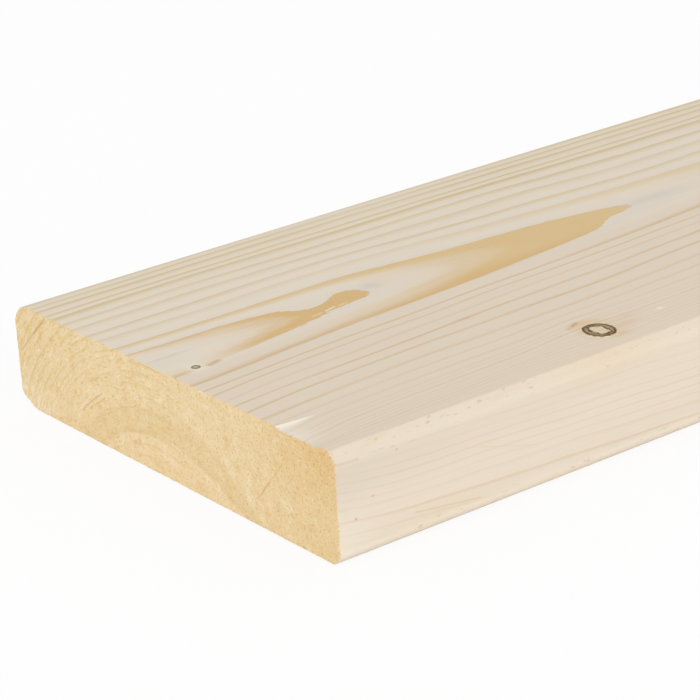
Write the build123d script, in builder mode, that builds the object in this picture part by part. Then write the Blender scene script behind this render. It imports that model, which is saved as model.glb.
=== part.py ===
"""A planed softwood plank: one sawn length of timber with four eased long arrises.

Millimetres. X runs along the plank, Y across its broad face and Z up through its thickness.
The origin is at the centre of the underside, and the plank lies flat on Z = 0.
"""

import os

from build123d import *

# Planed section and sawn length
length = 2400.0
width = 184.0
thickness = 38.0

# Eased arrises: what each bevel takes off the broad face, and off the narrow edge beside it
near_top_face = 3.1
near_top_edge = 3.1
far_top_face = 5.0
far_top_edge = 5.0
near_bottom_face = 3.2
near_bottom_edge = 3.2
far_bottom_face = 9.0
far_bottom_edge = 4.0

# Worn corners of the bevels: nearly crisp on the broad faces at the near side, well rounded at the far side
near_edge_blend = 2.5
near_face_blend = 0.6
far_top_blend = 6.5
far_bottom_edge_blend = 4.0
far_bottom_face_blend = 12.0

half_width = width / 2

with BuildPart() as plank:
    with BuildSketch(Plane.YZ) as section:
        with BuildLine():
            Polyline(
                (near_bottom_face - half_width, 0),
                (half_width - far_bottom_face, 0),
                (half_width, far_bottom_edge),
                (half_width, thickness - far_top_edge),
                (half_width - far_top_face, thickness),
                (near_top_face - half_width, thickness),
                (-half_width, thickness - near_top_edge),
                (-half_width, near_bottom_edge),
                close=True,
            )
        make_face()
        near = section.vertices().filter_by_position(Axis.X, -width, 0)
        fillet(near.group_by(Axis.X)[0], radius=near_edge_blend)
        near = section.vertices().filter_by_position(Axis.X, -width, 0).group_by(Axis.Y)
        fillet(near[0] + near[-1], radius=near_face_blend)
        far = section.vertices().filter_by_position(Axis.X, 0, width)
        fillet(far.filter_by_position(Axis.Y, thickness / 2, thickness), radius=far_top_blend)
        far = section.vertices().filter_by_position(Axis.X, 0, width)
        far_bottom = far.filter_by_position(Axis.Y, 0, far_bottom_edge).group_by(Axis.X)
        fillet(far_bottom[-1], radius=far_bottom_edge_blend)
        far = section.vertices().filter_by_position(Axis.X, 0, width)
        fillet(far.group_by(Axis.Y)[0], radius=far_bottom_face_blend)
    extrude(amount=length / 2, both=True)

plank.part.label = "plank"

os.makedirs("parts", exist_ok=True)
export_step(plank.part, "parts/plank.step")
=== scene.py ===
"""Dresses a planed spruce plank: its worn surface, its sawn ends, its growth rings and its knots."""

import logging
import math
from dataclasses import dataclass, field
from enum import Enum
from functools import reduce
from itertools import product
from typing import Any, Callable, Sequence

import bmesh
import bpy
import numpy as np
from mathutils import Matrix, Vector, noise


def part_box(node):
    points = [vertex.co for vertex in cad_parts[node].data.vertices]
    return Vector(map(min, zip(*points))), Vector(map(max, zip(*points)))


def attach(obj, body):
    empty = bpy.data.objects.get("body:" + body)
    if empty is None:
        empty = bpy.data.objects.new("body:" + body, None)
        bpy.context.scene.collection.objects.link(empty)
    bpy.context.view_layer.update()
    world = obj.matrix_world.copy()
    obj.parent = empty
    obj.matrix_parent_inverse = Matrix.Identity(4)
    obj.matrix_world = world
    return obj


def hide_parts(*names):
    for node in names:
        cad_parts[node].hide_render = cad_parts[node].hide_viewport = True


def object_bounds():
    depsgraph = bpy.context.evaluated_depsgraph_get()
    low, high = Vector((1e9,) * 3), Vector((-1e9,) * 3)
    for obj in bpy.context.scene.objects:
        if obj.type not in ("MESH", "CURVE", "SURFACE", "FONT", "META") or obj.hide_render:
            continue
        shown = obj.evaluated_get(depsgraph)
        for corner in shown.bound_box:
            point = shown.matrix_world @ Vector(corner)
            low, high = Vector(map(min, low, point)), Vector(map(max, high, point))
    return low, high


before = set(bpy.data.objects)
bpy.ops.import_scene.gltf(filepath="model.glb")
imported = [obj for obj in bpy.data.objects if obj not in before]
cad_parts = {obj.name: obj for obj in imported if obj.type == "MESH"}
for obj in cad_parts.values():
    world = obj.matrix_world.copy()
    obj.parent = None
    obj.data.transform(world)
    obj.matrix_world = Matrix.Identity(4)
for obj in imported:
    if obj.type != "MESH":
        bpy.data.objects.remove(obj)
CAD_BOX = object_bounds()

LOG = logging.getLogger("plank")

# A millimetre in metres, and the smallest distance in metres that counts
MM = 0.001
HAIR = 1e-6

# Places of marks in millimetres: up to the top face, across to the near edge, and just inside the near end
TOP = 38.0
NEAR_EDGE = -92.0
END = 0.2

# Names that the frame, the record, the mesh and the material share
NODE = "plank"
BODY = "root"
SAWN = "sawn_end"
BEVEL = "eased_arris"
BAKE_MAP = "OFBake"

WHITE = (1.0, 1.0, 1.0, 1.0)

Colour = tuple[float, float, float, float]
Point = tuple[float, float, float]


def srgb(red: float, green: float, blue: float) -> Colour:
    """Turns a colour as seen on a screen into the linear one that shaders take.

    Args:
        red, green, blue: The channels, from 0 to 255.

    Returns:
        The linear colour, with full alpha.
    """
    def linear(channel: float) -> float:
        """Linear value of one channel."""
        part = channel / 255
        return part / 12.92 if part <= 0.04045 else ((part + 0.055) / 1.055) ** 2.4

    return linear(red), linear(green), linear(blue), 1.0


def _maths(
    operation: str, kind: str = "Math", flipped: bool = False, output: Any = 0
) -> Callable[..., "Value"]:
    """Makes a method of Value that adds one node of maths.

    Args:
        operation: What the node works out.
        kind: Math for numbers, or VectorMath for vectors and colours.
        flipped: Whether the value is the last term, as behind a number.
        output: Name or index of the output that is wanted.

    Returns:
        The method.
    """
    def method(self: "Value", *others: Any) -> "Value":
        """Adds the node, with this value and the others as its terms."""
        terms = (*others, self) if flipped else (self, *others)
        return self.graph.node("ShaderNode" + kind, {"operation": operation}, dict(enumerate(terms)), output)

    return method


class Value:
    """A socket that takes part in Python expressions, each of which adds its nodes.

    The operators and the methods from sine to most work on numbers, and those from plus to length on vectors.
    """

    __add__, __radd__ = _maths("ADD"), _maths("ADD", flipped=True)
    __sub__, __rsub__ = _maths("SUBTRACT"), _maths("SUBTRACT", flipped=True)
    __mul__, __rmul__ = _maths("MULTIPLY"), _maths("MULTIPLY", flipped=True)
    __truediv__, __rtruediv__ = _maths("DIVIDE"), _maths("DIVIDE", flipped=True)
    __abs__, sine, root = _maths("ABSOLUTE"), _maths("SINE"), _maths("SQRT")
    exponential, whole, angle = _maths("EXPONENT"), _maths("FLOOR"), _maths("ARCTAN2")
    least, most = _maths("MINIMUM"), _maths("MAXIMUM")
    plus, minus = _maths("ADD", "VectorMath"), _maths("SUBTRACT", "VectorMath")
    times, over = _maths("MULTIPLY", "VectorMath"), _maths("DIVIDE", "VectorMath")
    dot = _maths("DOT_PRODUCT", "VectorMath", output="Value")
    length = _maths("LENGTH", "VectorMath", output="Value")

    def __init__(self, graph: "Graph", socket: bpy.types.NodeSocket) -> None:
        """Keeps the socket and the graph that new nodes go into."""
        self.graph = graph
        self.socket = socket

    def __neg__(self) -> "Value":
        """Opposite."""
        return self * -1.0

    def scaled(self, share: Any) -> "Value":
        """This vector or colour times a number."""
        return self.graph.node("ShaderNodeVectorMath", {"operation": "SCALE"}, {0: self, "Scale": share})

    def along(self, way: Point) -> "Value":
        """A vector times this number."""
        return self.graph.node("ShaderNodeVectorMath", {"operation": "SCALE"}, {0: way, "Scale": self})

    def split(self) -> tuple["Value", "Value", "Value"]:
        """The three parts of this vector."""
        made = self.graph.raw("ShaderNodeSeparateXYZ", {}, {0: self})
        return tuple(Value(self.graph, socket) for socket in made.outputs)

    def ease(self, start: Any, end: Any, low: Any = 0.0, high: Any = 1.0) -> "Value":
        """Goes smoothly from low to high as this value goes from start to end."""
        sockets = dict(enumerate((self, start, end, low, high)))
        return self.graph.node("ShaderNodeMapRange", {"interpolation_type": "SMOOTHSTEP"}, sockets)

    def fade(self, start: Any, end: Any) -> "Value":
        """Goes smoothly from 1 to 0 as this value goes from start to end."""
        return self.ease(start, end, 1.0, 0.0)

    def curve(self, points: Sequence[tuple[float, float]]) -> "Value":
        """Reads this value off a curve."""
        return self.graph.node("ShaderNodeFloatCurve", {"points": points}, {"Value": self})

    def cloud(self, stretch: Point, detail: float = 2.0, rough: float = 0.5) -> "Value":
        """Noise from 0 to 1 about 0.5 at this place, with its cells per unit along each axis."""
        sockets = {"Vector": self.times(stretch), "Scale": 1.0, "Detail": detail, "Roughness": rough}
        return self.graph.node("ShaderNodeTexNoise", {"noise_dimensions": "3D"}, sockets)

    def blend(self, first: Any, second: Any) -> "Value":
        """Mixes two colours, with this value as the second one's share."""
        settings = {"data_type": "RGBA", "clamp_factor": True}
        return self.graph.node("ShaderNodeMix", settings, {0: self, 6: first, 7: second}, 2)

    def coated(self, *coats: tuple["Value", Any]) -> "Value":
        """Lays coats over this colour, each given as its share and its own colour."""
        return reduce(lambda under, coat: coat[0].blend(under, coat[1]), coats, self)


class Graph:
    """A node tree under construction, for a shader or for geometry."""

    def __init__(self, tree: bpy.types.NodeTree) -> None:
        """Keeps the tree and empties it."""
        self.tree = tree
        tree.nodes.clear()

    def raw(self, kind: str, settings: dict[str, Any], sockets: dict[Any, Any]) -> bpy.types.Node:
        """Adds a node, sets it up and feeds it.

        Args:
            kind: The node's type.
            settings: Properties to set first. The key stops holds a ramp's stops, and points a curve's.
            sockets: Numbers, colours, vectors or links, by the input's name or index.

        Returns:
            The node.
        """
        made = self.tree.nodes.new(kind)
        for name, setting in settings.items():
            if name == "stops":
                self._stops(made.color_ramp, setting)
            elif name == "points":
                self._points(made.mapping, setting)
            else:
                setattr(made, name, setting)
        for key, given in sockets.items():
            if isinstance(given, Value):
                self.tree.links.new(given.socket, made.inputs[key])
            else:
                made.inputs[key].default_value = given
        return made

    def node(self, kind: str, settings: dict[str, Any], sockets: dict[Any, Any], output: Any = 0) -> Value:
        """Adds a node as raw does.

        Args:
            kind: The node's type.
            settings: Properties to set first.
            sockets: Values or links of its inputs.
            output: Name or index of the output that is wanted.

        Returns:
            That output.
        """
        return Value(self, self.raw(kind, settings, sockets).outputs[output])

    @staticmethod
    def _stops(ramp: bpy.types.ColorRamp, stops: Sequence[tuple[float, Colour]]) -> None:
        """Sets a ramp's stops, in rising order.

        Args:
            ramp: The ramp.
            stops: Each stop's place and colour.
        """
        while len(ramp.elements) < len(stops):
            ramp.elements.new(1.0)
        for element, (position, colour) in zip(ramp.elements, stops):
            element.position = position
            element.color = colour

    @staticmethod
    def _points(mapping: bpy.types.CurveMapping, points: Sequence[tuple[float, float]]) -> None:
        """Sets a curve's points, joined by straight lines.

        Args:
            mapping: What holds the curve.
            points: Its points, in rising order.
        """
        curve = mapping.curves[0]
        curve.points[0].location = points[0]
        curve.points[-1].location = points[-1]
        for place in points[1:-1]:
            curve.points.new(*place)
        for point in curve.points:
            point.handle_type = "VECTOR"
        mapping.update()


def blank(owner: bpy.types.Material | bpy.types.World) -> Graph:
    """Gives a new material or world an empty graph."""
    owner.use_nodes = True
    return Graph(owner.node_tree)


def add(name: str, data: bpy.types.ID) -> bpy.types.Object:
    """Adds an object to the scene.

    Args:
        name: Its name.
        data: Its mesh, lamp or camera.

    Returns:
        The object.
    """
    made = bpy.data.objects.new(name, data)
    bpy.context.scene.collection.objects.link(made)
    return made


def clip(share: float) -> float:
    """Holds a share between 0 and 1."""
    return min(1.0, max(0.0, share))


@dataclass(frozen=True)
class RingField:
    """What the growth rings say at each point of the wood.

    Attributes:
        late: Share of latewood, from 0 to 1.
        phase: Place within the year, from 0 to 1.
        far: 1 on the far side of the pith and over the flames, and 0 on the near side.
        middle: 1 above the pith, where the rings show as flames, and 0 well aside.
        radius: Distance from the pith in millimetres.
        sweep: Place round the pith, as millimetres along a middling ring.
    """

    late: Value
    phase: Value
    far: Value
    middle: Value
    radius: Value
    sweep: Value


@dataclass(frozen=True)
class Swell:
    """A local rise or dip of the rings that shapes a flame on the top face, in millimetres from the near end.

    Attributes:
        along, across: Its middle on the top face.
        long, wide: How far it reaches.
        rise: How far it shifts the rings.
    """

    along: float
    across: float
    long: float
    wide: float
    rise: float


@dataclass(frozen=True)
class GrowthRings:
    """The yearly rings of the stem that the plank was sawn from, in millimetres from the near end.

    Attributes:
        top: Height of the top face.
        pith_across, pith_below: Where the pith crosses the near end, across and below the underside.
        sink, sink_wave, sink_from: How far the pith sinks and rises along the plank, over what length, and
            from where.
        stray, stray_wave, stray_from: The same for its wandering across.
        near_flare, far_flare, flare_length: How far the rings of either side shift behind the near end, and
            how soon.
        inner: Radii of the rings that don't reach the top face at the near end, and how strongly each one
            shows.
        far_lines, near_lines: Where the later rings cross the top face at the near end, out from the middle,
            and how strongly each one shows.
        swells: Local rises and dips.
        least_radius, radius_span, year_span: Ranges of the curves from radius to years.
        arc_radius: The ring that measures places round the pith.
        flame_ring: The ring that parts the two flames on the top face.
        stages: How latewood comes in where it lies flat: its share, and where in the year each stage runs.
    """

    top: float = TOP
    pith_across: float = 6.0
    pith_below: float = 37.0
    sink: float = 5.25
    sink_wave: float = 2000.0
    sink_from: float = 120.0
    stray: float = 2.9
    stray_wave: float = 1500.0
    stray_from: float = 120.0
    near_flare: float = 1.75
    far_flare: float = -0.8
    flare_length: float = 35.0
    inner: tuple[tuple[float, float], ...] = (
        (33.0, 0.4), (38.0, 0.4), (42.5, 0.5), (47.0, 0.5), (50.6, 1.0), (54.8, 0.8), (59.0, 0.8),
        (63.5, 0.6), (67.5, 0.6), (71.5, 0.7), (74.95, 0.8),
    )
    far_lines: tuple[tuple[float, float], ...] = (
        (21.5, 0.95), (29.3, 0.88), (39.2, 0.45), (46.6, 0.76), (54.2, 0.6), (61.2, 0.74), (68.3, 0.95),
        (71.7, 0.92), (77.3, 0.85), (81.5, 0.78), (85.7, 0.7), (89.5, 0.85), (94.0, 0.6), (100.0, 0.8),
        (106.0, 0.7),
    )
    near_lines: tuple[tuple[float, float], ...] = (
        (-8.0, 0.8), (-17.8, 0.95), (-24.8, 0.8), (-29.9, 0.8), (-36.0, 0.4), (-41.5, 0.85), (-48.0, 0.85),
        (-56.2, 0.6), (-62.0, 0.35), (-67.8, 0.35), (-71.4, 0.28), (-73.4, 0.4), (-76.1, 0.7), (-79.0, 0.3),
        (-80.6, 0.28), (-82.4, 0.45), (-84.4, 0.5), (-86.4, 0.4), (-88.6, 0.18), (-90.8, 0.28), (-93.0, 0.16),
        (-96.0, 0.3), (-99.5, 0.35), (-103.5, 0.35),
    )
    swells: tuple[Swell, ...] = (
        Swell(90.0, 34.0, 50.0, 14.0, -0.95),
        Swell(230.0, 42.0, 75.0, 16.0, 1.25),
        Swell(300.0, 56.0, 70.0, 9.0, 1.0),
        Swell(38.0, 21.0, 13.0, 5.0, -0.18),
        Swell(69.0, 14.0, 9.0, 5.0, 0.5),
        Swell(86.0, 16.0, 8.0, 5.0, -0.2),
        Swell(99.0, 13.0, 6.0, 6.0, 0.25),
        Swell(60.0, -10.0, 45.0, 9.0, 0.42),
        Swell(60.0, 3.0, 22.0, 3.5, 0.12),
        Swell(76.0, 5.0, 14.0, 3.5, 0.1),
        Swell(203.0, 3.5, 13.0, 5.0, 0.4),
        Swell(172.0, 20.0, 32.0, 6.0, -0.26),
        Swell(222.0, 7.5, 10.0, 6.0, 0.18),
        Swell(135.0, -45.0, 55.0, 18.0, -1.1),
    )
    least_radius: float = 30.0
    radius_span: float = 105.0
    year_span: float = 40.0
    arc_radius: float = 75.0
    flame_ring: float = 76.4
    stages: tuple[Point, ...] = ((0.15, -0.3, -0.1), (0.5, -0.12, 0.07), (0.35, 0.08, 0.22))

    def _years(self, lines: Sequence[tuple[float, float]]) -> list[tuple[float, float]]:
        """Points that turn a radius into a count of years, both scaled to run from 0 to 1.

        Args:
            lines: Where one side's later rings cross the top face, and how strongly each one shows.

        Returns:
            The curve's points.
        """
        depth = self.top + self.pith_below
        radii = [radius for radius, _ in self.inner]
        radii += [math.hypot(line - self.pith_across, depth) for line, _ in lines]
        points = [((radius - self.least_radius) / self.radius_span, (year + 1) / self.year_span)
                  for year, radius in enumerate(radii)]
        return [(0.0, 0.0), *points, (1.0, (len(radii) + 2) / self.year_span)]

    def _strengths(self, lines: Sequence[tuple[float, float]]) -> list[tuple[float, float]]:
        """Points that turn a year, scaled to run from 0 to 1, into how strongly its ring shows.

        Args:
            lines: Where one side's later rings cross the top face, and how strongly each one shows.

        Returns:
            The curve's points.
        """
        strengths = [strength for _, strength in (*self.inner, *lines)]
        points = [(year / self.year_span, strength) for year, strength in enumerate(strengths)]
        return [*points, (1.0, points[-1][1])]

    @staticmethod
    def _wave(x: Value, size: float, length: float, start: float) -> Value:
        """A slow wave along the plank that is zero at the near end."""
        turn = 2 * math.pi / length
        return ((x - start) * turn).sine() * size + size * math.sin(start * turn)

    def field(self, place: Value) -> RingField:
        """Builds the nodes that find the rings.

        Args:
            place: The point of the wood, in millimetres from the near end.

        Returns:
            What the rings say there.
        """
        x, y, z = place.split()
        aside = y - (self._wave(x, self.stray, self.stray_wave, self.stray_from) + self.pith_across)
        above = z + (self._wave(x, self.sink, self.sink_wave, self.sink_from) + self.pith_below)
        middle = abs(aside).fade(14.0, 34.0)
        radius = (aside * aside + above * above).root()
        radius = radius + (place.cloud((0.014, 0.05, 0.05), 1.0) - 0.5) * (2.2 - 2.1 * middle)
        radius = radius + (place.cloud((0.13, 1.1, 1.1), 3.0, 0.6) - 0.5) * 0.24
        drawn = 1 - (x * (-1 / self.flare_length)).exponential()
        flare = aside.ease(-20.0, -34.0, 0.0, self.near_flare)
        flare = flare + aside.ease(30.0, 50.0, 0.0, self.far_flare)
        radius = radius + drawn * flare
        for swell in self.swells:
            off = place.minus((swell.along, swell.across, self.top))
            off = off.times((1 / swell.long, 1 / swell.wide, 1 / swell.wide))
            radius = radius + (-off.dot(off)).exponential() * swell.rise
        sides = (self.near_lines, self.far_lines)
        scaled = (radius - self.least_radius) / self.radius_span
        counts = [scaled.curve(self._years(lines)) for lines in sides]
        years = (counts[0] + (counts[1] - counts[0]) * aside.ease(-12.0, 12.0)) * self.year_span
        year = years.whole()
        phase = years - year
        shows = [(year / self.year_span).curve(self._strengths(lines)) for lines in sides]
        far = aside.ease(-17.0, -5.0)
        past = radius - self.flame_ring
        start = past.ease(0.0, 0.4, 0.56, 0.3) + aside.ease(2.0, 8.0, 0.0, 0.05)
        start = start + (1 - far) * past.ease(0.0, 2.0, 0.06, 0.32)
        rise = aside.ease(2.0, 30.0, 0.22, 0.72) + aside.ease(-2.0, -30.0, 0.0, 0.1)
        fall = abs(aside).ease(2.0, 20.0, 0.015, 0.1)
        gentle = phase.ease(start, start + rise)
        stepped = sum(share * phase.ease(start + begin, start + end) for share, begin, end in self.stages)
        flat = abs(aside).fade(5.0, 15.0)
        late = (gentle + (stepped - gentle) * flat) * phase.fade(1 - fall, 1.0)
        late = late * (shows[0] + (shows[1] - shows[0]) * far)
        sweep = aside.angle(above) * self.arc_radius
        return RingField(late, phase, far, middle, radius, sweep)


class KnotKind(Enum):
    """How a branch sits in the wood around it."""

    ENCASED = "dead branch with a ring of bark"
    INTERGROWN = "live branch grown into the wood"
    PIN = "dead twig"


@dataclass(frozen=True)
class Knot:
    """A branch that the plank was sawn through, in millimetres from the near end.

    Attributes:
        kind: How it sits in the wood.
        along, across, height: A point on its axis, on the face where it shows.
        lean: How far its axis leans from upright towards the far edge, in degrees.
        radius: Its radius at that point.
        depth: How far below that point the branch begins.
        bend: How strongly the grain swerves round it.
    """

    kind: KnotKind
    along: float
    across: float
    lean: float
    radius: float
    height: float = TOP
    depth: float = 90.0
    bend: float = 0.8

    @property
    def axis(self) -> Point:
        """Unit vector along the branch, outwards."""
        lean = math.radians(self.lean)
        return 0.0, math.sin(lean), math.cos(lean)

    @property
    def start(self) -> Point:
        """Where the branch begins."""
        _, across, up = self.axis
        return self.along, self.across - across * self.depth, self.height - up * self.depth

    def measure(self, place: Value) -> tuple[Value, Value]:
        """Builds the nodes that measure a point against the branch.

        Args:
            place: The point of the wood, in millimetres from the near end.

        Returns:
            The point's way out from the branch's axis, in radii of the branch there, and how far the grain
            there was pushed aside.
        """
        off = place.minus(self.start)
        out = off.dot(self.axis)
        aside = off.minus(out.along(self.axis))
        girth = (out * (self.radius / self.depth)).most(0.05)
        away = aside.scaled(1 / girth)
        near = away.times((0.28, 0.42, 0.42)).length()
        push = (-(near * near)).exponential() * self.bend
        return away, aside.scaled(push)


@dataclass(frozen=True)
class KnotField:
    """What the nearest knot of one kind says at each point of the wood.

    Attributes:
        share: Distance from its axis, in radii of the branch.
        away: The way out from its axis, in radii, or nothing where no knot is near.
    """

    share: Value
    away: Value


class Mark:
    """A coloured mark on the wood, in millimetres from the near end: a mark of its own, or painted light or
    shade.
    """

    colour: Colour

    def share(self, place: Value) -> Value:
        """The mark's share of the colour at a point of the wood."""
        raise NotImplementedError

    def paint(self, place: Value, under: Value) -> Value:
        """Paints the mark over a colour.

        Args:
            place: The point of the wood.
            under: The colour below.

        Returns:
            The colour with the mark.
        """
        return self.share(place).blend(under, self.colour)


@dataclass(frozen=True)
class SoftPatch(Mark):
    """A soft mark: a stain of the wood, and in places a patch of painted shade or painted light.

    Attributes:
        place: Its middle.
        spread: How far it reaches along each axis.
        colour: Its colour.
        strength: Its share at the middle.
    """

    place: Point
    spread: Point
    colour: Colour
    strength: float

    def share(self, place: Value) -> Value:
        """The mark's share, which falls off from its middle."""
        off = place.minus(self.place).over(self.spread)
        return (-off.dot(off)).exponential() * self.strength


@dataclass(frozen=True)
class Scratch(Mark):
    """A thin straight mark.

    Attributes:
        start, end: Where it runs.
        width: How far it reaches to each side.
        colour: Its colour.
        strength: Its share along the middle.
    """

    start: Point
    end: Point
    width: float
    colour: Colour
    strength: float

    def share(self, place: Value) -> Value:
        """The mark's share, which falls off to both sides of its line.

        Args:
            place: The point of the wood.

        Returns:
            The share, from 0 to 1.
        """
        run = tuple(b - a for a, b in zip(self.start, self.end))
        off = place.minus(self.start)
        done = (off.dot(run) / sum(part * part for part in run)).most(0.0).least(1.0)
        aside = off.minus(done.along(run))
        return aside.length().ease(0.0, self.width, self.strength, 0.0)


@dataclass(frozen=True)
class SplinterWithHighlight(Mark):
    """Bare wood where a strip was torn off the top face beside the near end, pale and with a painted
    highlight along its far bank, which faces the light.

    Attributes:
        bank, drift: Where its far edge meets the end, and how far that edge moves across for each millimetre.
        length, width, tip: How long it is, and how wide at the end and at its tip.
        top, depth: Height of the top face, and how far below it the bare wood ends.
        colour: Its colour: the torn wood's own paleness together with the painted highlight.
        strength: Its share along the far edge.
    """

    bank: float = -61.6
    drift: float = -0.13
    length: float = 19.0
    width: float = 5.0
    tip: float = 0.1
    top: float = TOP
    depth: float = 3.0
    colour: Colour = srgb(247, 240, 225)
    strength: float = 0.95

    def share(self, place: Value) -> Value:
        """The share of the bare wood and its painted highlight, which falls off from the strip's far edge and
        towards its tip.

        Args:
            place: The point of the wood.

        Returns:
            The share, from 0 to 1.
        """
        x, y, z = place.split()
        inside = self.bank + self.drift * x - y
        narrow = x.ease(0.0, self.length, self.width, self.tip)
        share = inside.ease(-0.15, 0.35) * (inside / narrow).fade(0.1, 1.0)
        share = share * x.fade(self.length / 2, self.length)
        return share * z.ease(self.top - self.depth, self.top - self.depth + 1) * self.strength


@dataclass(frozen=True)
class PlanedSpruce:
    """Bare spruce, planed on its long faces and sawn across its ends.

    Attributes:
        rings: The growth rings.
        knots: The branches.
        stains_and_painted_light, scratches: Resin, torn fibres, grey streaks, checks and scratches, and
            painted shade and light on the near edge and a painted highlight on the near end.
        splinter_with_highlight: Where a strip was torn off, pale, with a painted highlight along its far
            bank.
        early_far, early_near, early_edge: Earlywood on either side of the pith, and on the narrow edges.
        late_far, late_near: Latewood on either side of the pith.
        flame, flame_deep: Latewood where it lies flat in the face, and its deeper tone.
        grey: The shade of the first wood of a year beside the flames.
        pale, torn, nick: Roughly bevelled wood, freshly torn wood and small nicks.
        end_tones, end_from, end_span: The sawn ends' colours by their distance from the pith, and the range
            of those distances.
        end_dark, end_pale, end_yellow, end_warm: The sawn ends' pores, their torn fibres, their resin specks
            and their warmer corner.
        bark, bark_worn, dead_wood: The ring round a dead branch, dark and worn, and the wood inside it.
        heart, heart_dark: The wood of a live branch.
        twig, twig_edge: A dead twig's wood and edge.
        streak: How often fine streaks follow each other, for each millimetre along each axis.
    """

    rings: GrowthRings = GrowthRings()
    knots: tuple[Knot, ...] = ()
    stains_and_painted_light: tuple[SoftPatch, ...] = ()
    scratches: tuple[Scratch, ...] = ()
    splinter_with_highlight: SplinterWithHighlight = SplinterWithHighlight()
    early_far: Colour = srgb(228, 216, 198)
    early_near: Colour = srgb(224, 209, 189)
    early_edge: Colour = srgb(226, 213, 195)
    late_far: Colour = srgb(208, 187, 139)
    late_near: Colour = srgb(211, 182, 139)
    flame: Colour = srgb(217, 185, 125)
    flame_deep: Colour = srgb(214, 176, 112)
    grey: Colour = srgb(216, 208, 198)
    pale: Colour = srgb(236, 224, 203)
    torn: Colour = srgb(246, 240, 226)
    nick: Colour = srgb(202, 177, 144)
    end_tones: tuple[tuple[float, Colour], ...] = (
        (36.0, srgb(239, 214, 168)),
        (49.4, srgb(239, 216, 173)),
        (50.6, srgb(229, 203, 154)),
        (53.5, srgb(235, 211, 164)),
        (57.0, srgb(231, 206, 158)),
        (63.0, srgb(238, 215, 170)),
        (72.0, srgb(237, 213, 169)),
        (85.0, srgb(236, 213, 168)),
        (120.0, srgb(233, 208, 161)),
    )
    end_from: float = 30.0
    end_span: float = 100.0
    end_dark: Colour = srgb(200, 158, 88)
    end_pale: Colour = srgb(247, 233, 205)
    end_yellow: Colour = srgb(219, 193, 98)
    end_warm: Colour = srgb(225, 180, 112)
    bark: Colour = srgb(86, 55, 8)
    bark_worn: Colour = srgb(174, 146, 98)
    dead_wood: Colour = srgb(224, 210, 183)
    heart: Colour = srgb(186, 142, 97)
    heart_dark: Colour = srgb(142, 98, 62)
    twig: Colour = srgb(172, 162, 136)
    twig_edge: Colour = srgb(112, 100, 74)
    streak: Point = (0.035, 1.3, 1.3)

    def make(self) -> bpy.types.Material:
        """Builds the material.

        Returns:
            The material, which reads Object coordinates and the plank's own attributes.
        """
        material = bpy.data.materials.new("planed_spruce")
        graph = blank(material)
        place = self._place(graph)
        branches, grain = self._knots(place)
        field = self.rings.field(grain)
        fibre = grain.cloud(self.streak, 4.0, 0.6)
        sawn, bevel = (graph.node("ShaderNodeAttribute", {"attribute_name": name}, {}, "Fac")
                       for name in (SAWN, BEVEL))
        grit = place.cloud((0.5, 1.5, 1.5), 3.0, 0.65)
        swirl = branches[KnotKind.ENCASED].share.fade(1.2, 4.5)
        face = self._face(place, field, fibre, bevel, grit, swirl)
        face = self._branches(place, face, branches)
        end = self._end(place, field, grit)
        colour = sawn.most(self._fray(place, grit)).blend(face, end)
        # The scratches, among them a painted highlight on the near end.
        for scratch in self.scratches:
            colour = scratch.paint(place, colour)
        height = self._height(place, grit, sawn, bevel)
        normal = graph.node("ShaderNodeBump", {}, {"Strength": 1.0, "Distance": MM, "Height": height})
        roughness = 0.62 + 0.06 * field.late + 0.25 * sawn
        sockets = {"Base Color": colour, "Roughness": roughness, "Normal": normal, "Specular IOR Level": 0.3}
        shader = graph.node("ShaderNodeBsdfPrincipled", {}, sockets)
        graph.raw("ShaderNodeOutputMaterial", {}, {"Surface": shader})
        return material

    @staticmethod
    def _place(graph: Graph) -> Value:
        """The point of the wood, in millimetres from the middle of the near end's underside.

        Args:
            graph: The shader.

        Returns:
            The point.
        """
        seen = graph.node("ShaderNodeTexCoord", {}, {}, "Object")
        sockets = {0: seen, 1: (1 / MM,) * 3, 2: (-CAD_BOX[0].x / MM, 0.0, 0.0)}
        return graph.node("ShaderNodeVectorMath", {"operation": "MULTIPLY_ADD"}, sockets)

    def _knots(self, place: Value) -> tuple[dict[KnotKind, KnotField], Value]:
        """Measures the point against every branch.

        Args:
            place: The point of the wood.

        Returns:
            What the nearest branch of each kind says, and the point moved back to where its grain would be
            without the branches.
        """
        fields: dict[KnotKind, KnotField] = {}
        grain = place
        for knot in self.knots:
            away, push = knot.measure(place)
            share = away.length()
            away = away.scaled(share.fade(2.4, 2.6))
            known = fields.get(knot.kind)
            if known:
                share, away = known.share.least(share), known.away.plus(away)
            fields[knot.kind] = KnotField(share, away)
            grain = grain.minus(push)
        return fields, grain

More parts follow.
